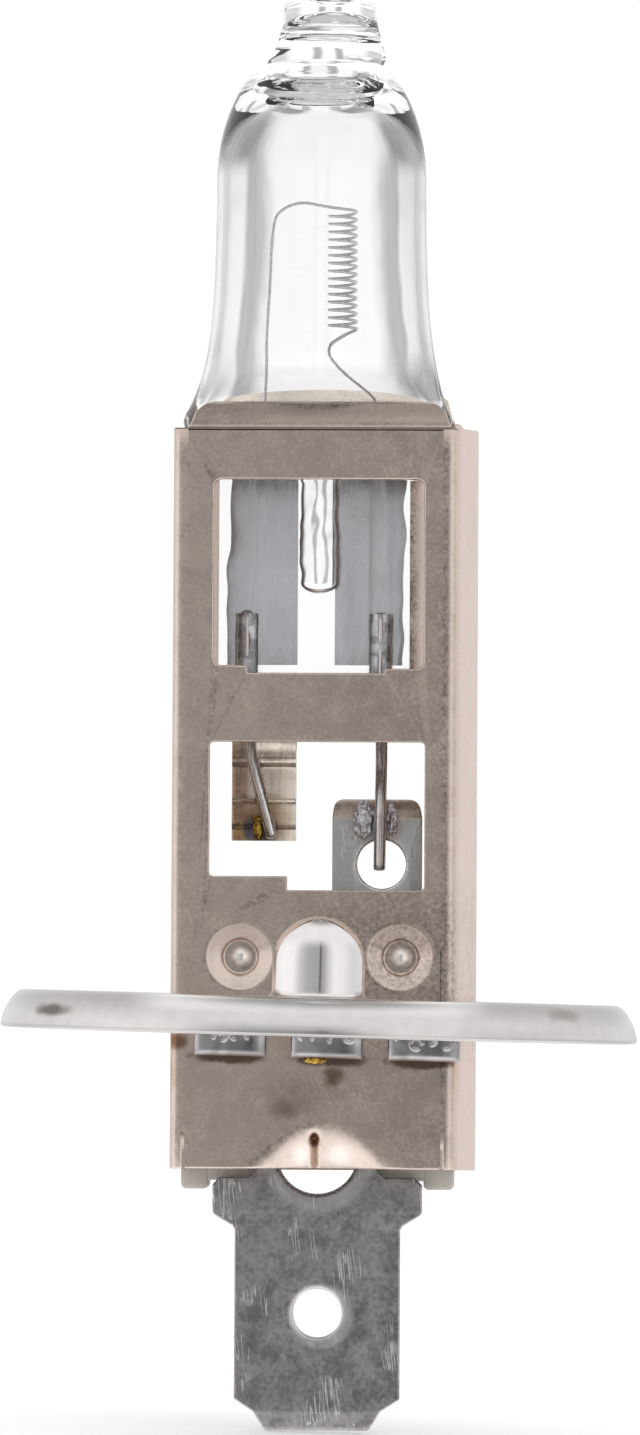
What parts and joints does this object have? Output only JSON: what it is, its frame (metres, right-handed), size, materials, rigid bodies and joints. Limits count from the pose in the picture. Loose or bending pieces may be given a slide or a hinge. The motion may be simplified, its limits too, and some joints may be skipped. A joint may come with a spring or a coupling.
{
  "type": "halogen headlight bulb",
  "caption": "Halogen headlight bulb: clear quartz capsule with an axial coil, folded metal sleeve, round prefocus flange and a flat blade contact.",
  "frame": {"origin": "centre of the prefocus flange's seating face, the face towards the glass", "axes": "+Z along the flange's own axis towards the glass tip; -Y towards the front, the side with the locating boss"},
  "size_m": [0.0242, 0.0242, 0.0546],
  "materials": {
    "quartz": "clear fused quartz, fire polished",
    "tungsten": "drawn tungsten wire",
    "foil_metal": "thin grey molybdenum foil sealed in glass",
    "lead_wire": "drawn wire, faintly streaked",
    "sleeve_nickel": "nickel plated steel sheet, satin and mottled",
    "terminal_tin": "plated steel, grey and mottled",
    "insulator_ceramic": "unglazed steatite",
    "weld_metal": "fused metal with a heat tint",
    "flange_steel": "bright satin plated steel"
  },
  "bodies": {
    "root": {"glass_envelope": "quartz", "filament": "tungsten", "foil_left": "foil_metal", "foil_right": "foil_metal", "lead_left": "lead_wire", "lead_right": "lead_wire", "sleeve_front": "sleeve_nickel", "sleeve_rear": "sleeve_nickel", "terminal_blade": "terminal_tin", "insulator_rear": "insulator_ceramic", "insulator_front": "insulator_ceramic", "weld_tongue": "weld_metal", "weld_terminal": "weld_metal", "prefocus_flange": "flange_steel"}
  },
  "joints": []
}
